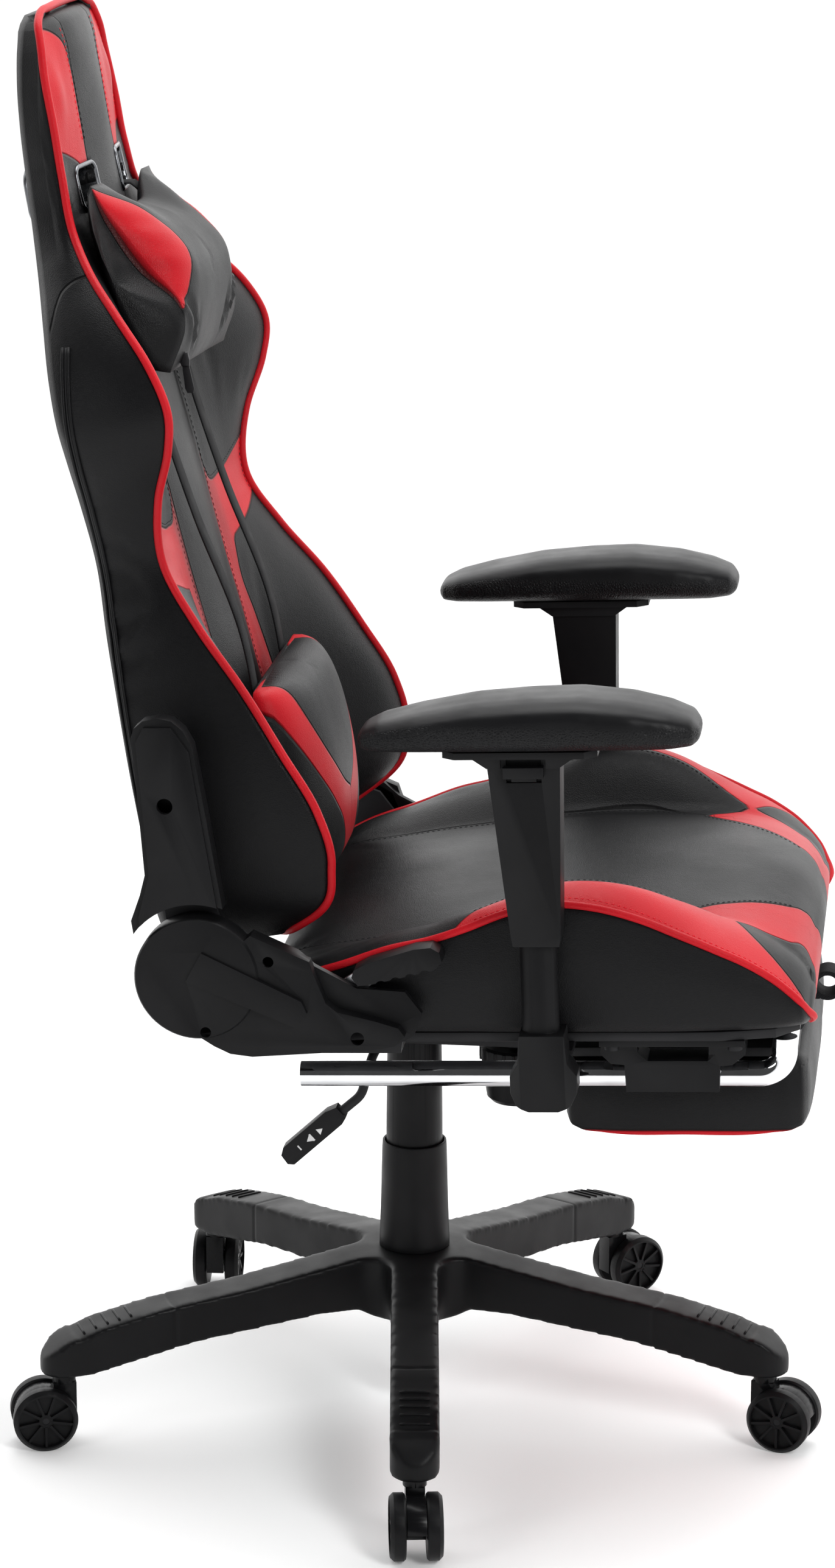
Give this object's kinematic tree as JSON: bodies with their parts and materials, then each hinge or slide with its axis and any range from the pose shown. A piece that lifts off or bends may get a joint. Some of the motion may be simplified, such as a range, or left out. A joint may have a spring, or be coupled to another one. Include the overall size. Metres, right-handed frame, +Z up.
{
  "type": "gaming chair",
  "caption": "High-back reclining gaming chair on a caster base, with height-adjustable armrests, pillows and a slide-out footrest.",
  "frame": {"origin": "on the floor under the gas lift column", "axes": "+Z up, the chair faces -Y, and +X is the left of a person sitting in it"},
  "size_m": [0.6921, 0.711, 1.2276],
  "materials": {
    "black_plastic": "fine-grained moulded",
    "pad_skin": "soft pebbled skin",
    "steel": "zinc plated",
    "black_paint": "satin powder coat",
    "black_leather": "satin synthetic leather",
    "red_leather": "satin synthetic leather",
    "chrome": "polished",
    "webbing": "woven band",
    "bezel": "satin silver"
  },
  "bodies": {
    "base": {"base_star": "black_plastic", "toe_caps": "black_plastic", "stand_tube": "steel", "piston_rod": "steel", "column_cover_lower": "black_plastic"},
    "caster_1": {"caster_1_hood": "black_plastic", "caster_1_pins": "black_paint"},
    "caster_1_wheel_pair": {"caster_1_wheels": "black_plastic"},
    "caster_2": {"caster_2_hood": "black_plastic", "caster_2_pins": "black_paint"},
    "caster_2_wheel_pair": {"caster_2_wheels": "black_plastic"},
    "caster_3": {"caster_3_hood": "black_plastic", "caster_3_pins": "black_paint"},
    "caster_3_wheel_pair": {"caster_3_wheels": "black_plastic"},
    "caster_4": {"caster_4_hood": "black_plastic", "caster_4_pins": "black_paint"},
    "caster_4_wheel_pair": {"caster_4_wheels": "black_plastic"},
    "caster_5": {"caster_5_hood": "black_plastic", "caster_5_pins": "black_paint"},
    "caster_5_wheel_pair": {"caster_5_wheels": "black_plastic"},
    "column": {"pressure_tube": "steel", "column_cover_upper": "black_plastic"},
    "mechanism": {"mech_housing": "black_paint", "mech_pivot_pin": "steel", "tension_spring": "steel"},
    "tension_knob": {"tension_knob": "black_plastic"},
    "tilt_lock": {"lock_sleeve": "black_plastic"},
    "gas_lever": {"lever_rod": "black_paint", "lever_paddle": "black_plastic"},
    "seat": {"seat_plate": "black_paint", "seat_pan": "black_paint", "seat_cushion": "black_leather", "seat_bolts": "steel", "arm_post_right": "black_plastic", "arm_post_left": "black_plastic", "recliner_lower_plates": "black_paint", "recliner_covers": "black_plastic", "recliner_pins": "steel", "footrest_guides": "black_plastic"},
    "arm_right": {"arm_sleeve_right": "black_plastic", "arm_pad_right": "pad_skin"},
    "arm_left": {"arm_sleeve_left": "black_plastic", "arm_pad_left": "pad_skin"},
    "arm_button_right": {"arm_button_right": "black_plastic"},
    "arm_button_left": {"arm_button_left": "black_plastic"},
    "recline_lever": {"recline_lever": "steel", "recline_grip": "black_plastic"},
    "footrest_slide": {"footrest_rails": "chrome"},
    "footrest_flip": {"footrest_board": "black_paint", "footrest_pad": "black_leather", "pull_loop": "webbing"},
    "back": {"back_frame": "black_paint", "back_cushion": "black_leather", "recliner_upper_plates": "black_paint", "back_covers": "black_plastic", "slot_bezels": "bezel", "pillow_straps": "webbing"},
    "lumbar": {"lumbar_pillow": "black_leather"},
    "headrest": {"head_pillow": "black_leather"}
  },
  "joints": [
    {"name": "caster_1_swivel", "type": "hinge", "parent": "base", "child": "caster_1", "pos_m": [-0.31755, -0.03955, 0.062], "axis": [0, 0, 1], "continuous": true},
    {"name": "caster_1_roll", "type": "hinge", "parent": "caster_1", "child": "caster_1_wheel_pair", "pos_m": [-0.33528, -0.04268, 0.028], "axis": [0.1736, -0.9848, 0], "continuous": true},
    {"name": "caster_2_swivel", "type": "hinge", "parent": "base", "child": "caster_2", "pos_m": [-0.06051, -0.31423, 0.062], "axis": [0, 0, 1], "continuous": true},
    {"name": "caster_2_roll", "type": "hinge", "parent": "caster_2", "child": "caster_2_wheel_pair", "pos_m": [-0.06577, -0.33144, 0.028], "axis": [0.9563, -0.2924, 0], "continuous": true},
    {"name": "caster_3_swivel", "type": "hinge", "parent": "base", "child": "caster_3", "pos_m": [0.28015, -0.15465, 0.062], "axis": [0, 0, 1], "continuous": true},
    {"name": "caster_3_roll", "type": "hinge", "parent": "caster_3", "child": "caster_3_wheel_pair", "pos_m": [0.29172, -0.16844, 0.028], "axis": [0.766, 0.6428, 0], "continuous": true},
    {"name": "caster_4_swivel", "type": "hinge", "parent": "base", "child": "caster_4", "pos_m": [0.23365, 0.21865, 0.062], "axis": [0, 0, 1], "continuous": true},
    {"name": "caster_4_roll", "type": "hinge", "parent": "caster_4", "child": "caster_4_wheel_pair", "pos_m": [0.25164, 0.21928, 0.028], "axis": [-0.0349, 0.9994, 0], "continuous": true},
    {"name": "caster_5_swivel", "type": "hinge", "parent": "base", "child": "caster_5", "pos_m": [-0.13574, 0.28978, 0.062], "axis": [0, 0, 1], "continuous": true},
    {"name": "caster_5_roll", "type": "hinge", "parent": "caster_5", "child": "caster_5_wheel_pair", "pos_m": [-0.141, 0.30699, 0.028], "axis": [-0.9563, -0.2924, 0], "continuous": true},
    {"name": "gas_lift", "type": "slide", "parent": "base", "child": "column", "axis": [0, 0, 1], "range_m": [-0.05, 0.025]},
    {"name": "seat_swivel", "type": "hinge", "parent": "column", "child": "mechanism", "pos_m": [0, 0, 0.366], "axis": [0, 0, 1], "continuous": true},
    {"name": "tension_knob_turn", "type": "hinge", "parent": "mechanism", "child": "tension_knob", "pos_m": [0, -0.09, 0.311], "axis": [0, 0, 1], "continuous": true},
    {"name": "tilt_lock_slide", "type": "slide", "parent": "mechanism", "child": "tilt_lock", "axis": [1, 0, 0], "range_m": [0, 0.012]},
    {"name": "gas_lever_lift", "type": "hinge", "parent": "tilt_lock", "child": "gas_lever", "pos_m": [-0.06, 0.007, 0.37], "axis": [1, 0, 0], "range_deg": [0, 10], "stiffness_Nm_per_rad": 2, "springref_deg": -20.05},
    {"name": "seat_tilt", "type": "hinge", "parent": "mechanism", "child": "seat", "pos_m": [0, -0.045, 0.391], "axis": [-1, 0, 0], "range_deg": [0, 10], "stiffness_Nm_per_rad": 180, "springref_deg": -20.05},
    {"name": "back_recline", "type": "hinge", "parent": "seat", "child": "back", "pos_m": [0, 0.1422, 0.4741], "axis": [-1, 0, 0], "range_deg": [0, 50]},
    {"name": "recline_lever_lift", "type": "hinge", "parent": "seat", "child": "recline_lever", "pos_m": [-0.264, 0.03555, 0.45282], "axis": [-1, 0, 0], "range_deg": [0, 15], "stiffness_Nm_per_rad": 0.6, "springref_deg": -22.92},
    {"name": "arm_height_right", "type": "slide", "parent": "seat", "child": "arm_right", "axis": [0, 0.0401, 0.9992], "range_m": [-0.05, 0.03]},
    {"name": "arm_button_right_press", "type": "slide", "parent": "arm_right", "child": "arm_button_right", "axis": [0, 0.0401, 0.9992], "range_m": [0, 0.004], "stiffness_N_per_m": 400, "springref_m": -0.004},
    {"name": "arm_height_left", "type": "slide", "parent": "seat", "child": "arm_left", "axis": [0, 0.0401, 0.9992], "range_m": [-0.05, 0.03]},
    {"name": "arm_button_left_press", "type": "slide", "parent": "arm_left", "child": "arm_button_left", "axis": [0, 0.0401, 0.9992], "range_m": [0, 0.004], "stiffness_N_per_m": 400, "springref_m": -0.004},
    {"name": "footrest_draw", "type": "slide", "parent": "seat", "child": "footrest_slide", "axis": [0, -0.9992, 0.0401], "range_m": [0, 0.26]},
    {"name": "footrest_turn", "type": "hinge", "parent": "footrest_slide", "child": "footrest_flip", "pos_m": [0, -0.33045, 0.41047], "axis": [-1, 0, 0], "range_deg": [0, 179.5]},
    {"name": "lumbar_slide", "type": "slide", "parent": "back", "child": "lumbar", "axis": [0, 0.165, 0.9863], "range_m": [-0.008, 0.045]},
    {"name": "headrest_slide", "type": "slide", "parent": "back", "child": "headrest", "axis": [0, 0.165, 0.9863], "range_m": [-0.025, 0.03]}
  ],
  "couplings": [
    {"joint": "footrest_turn", "follows": "footrest_draw", "rad_per_m": 12}
  ]
}
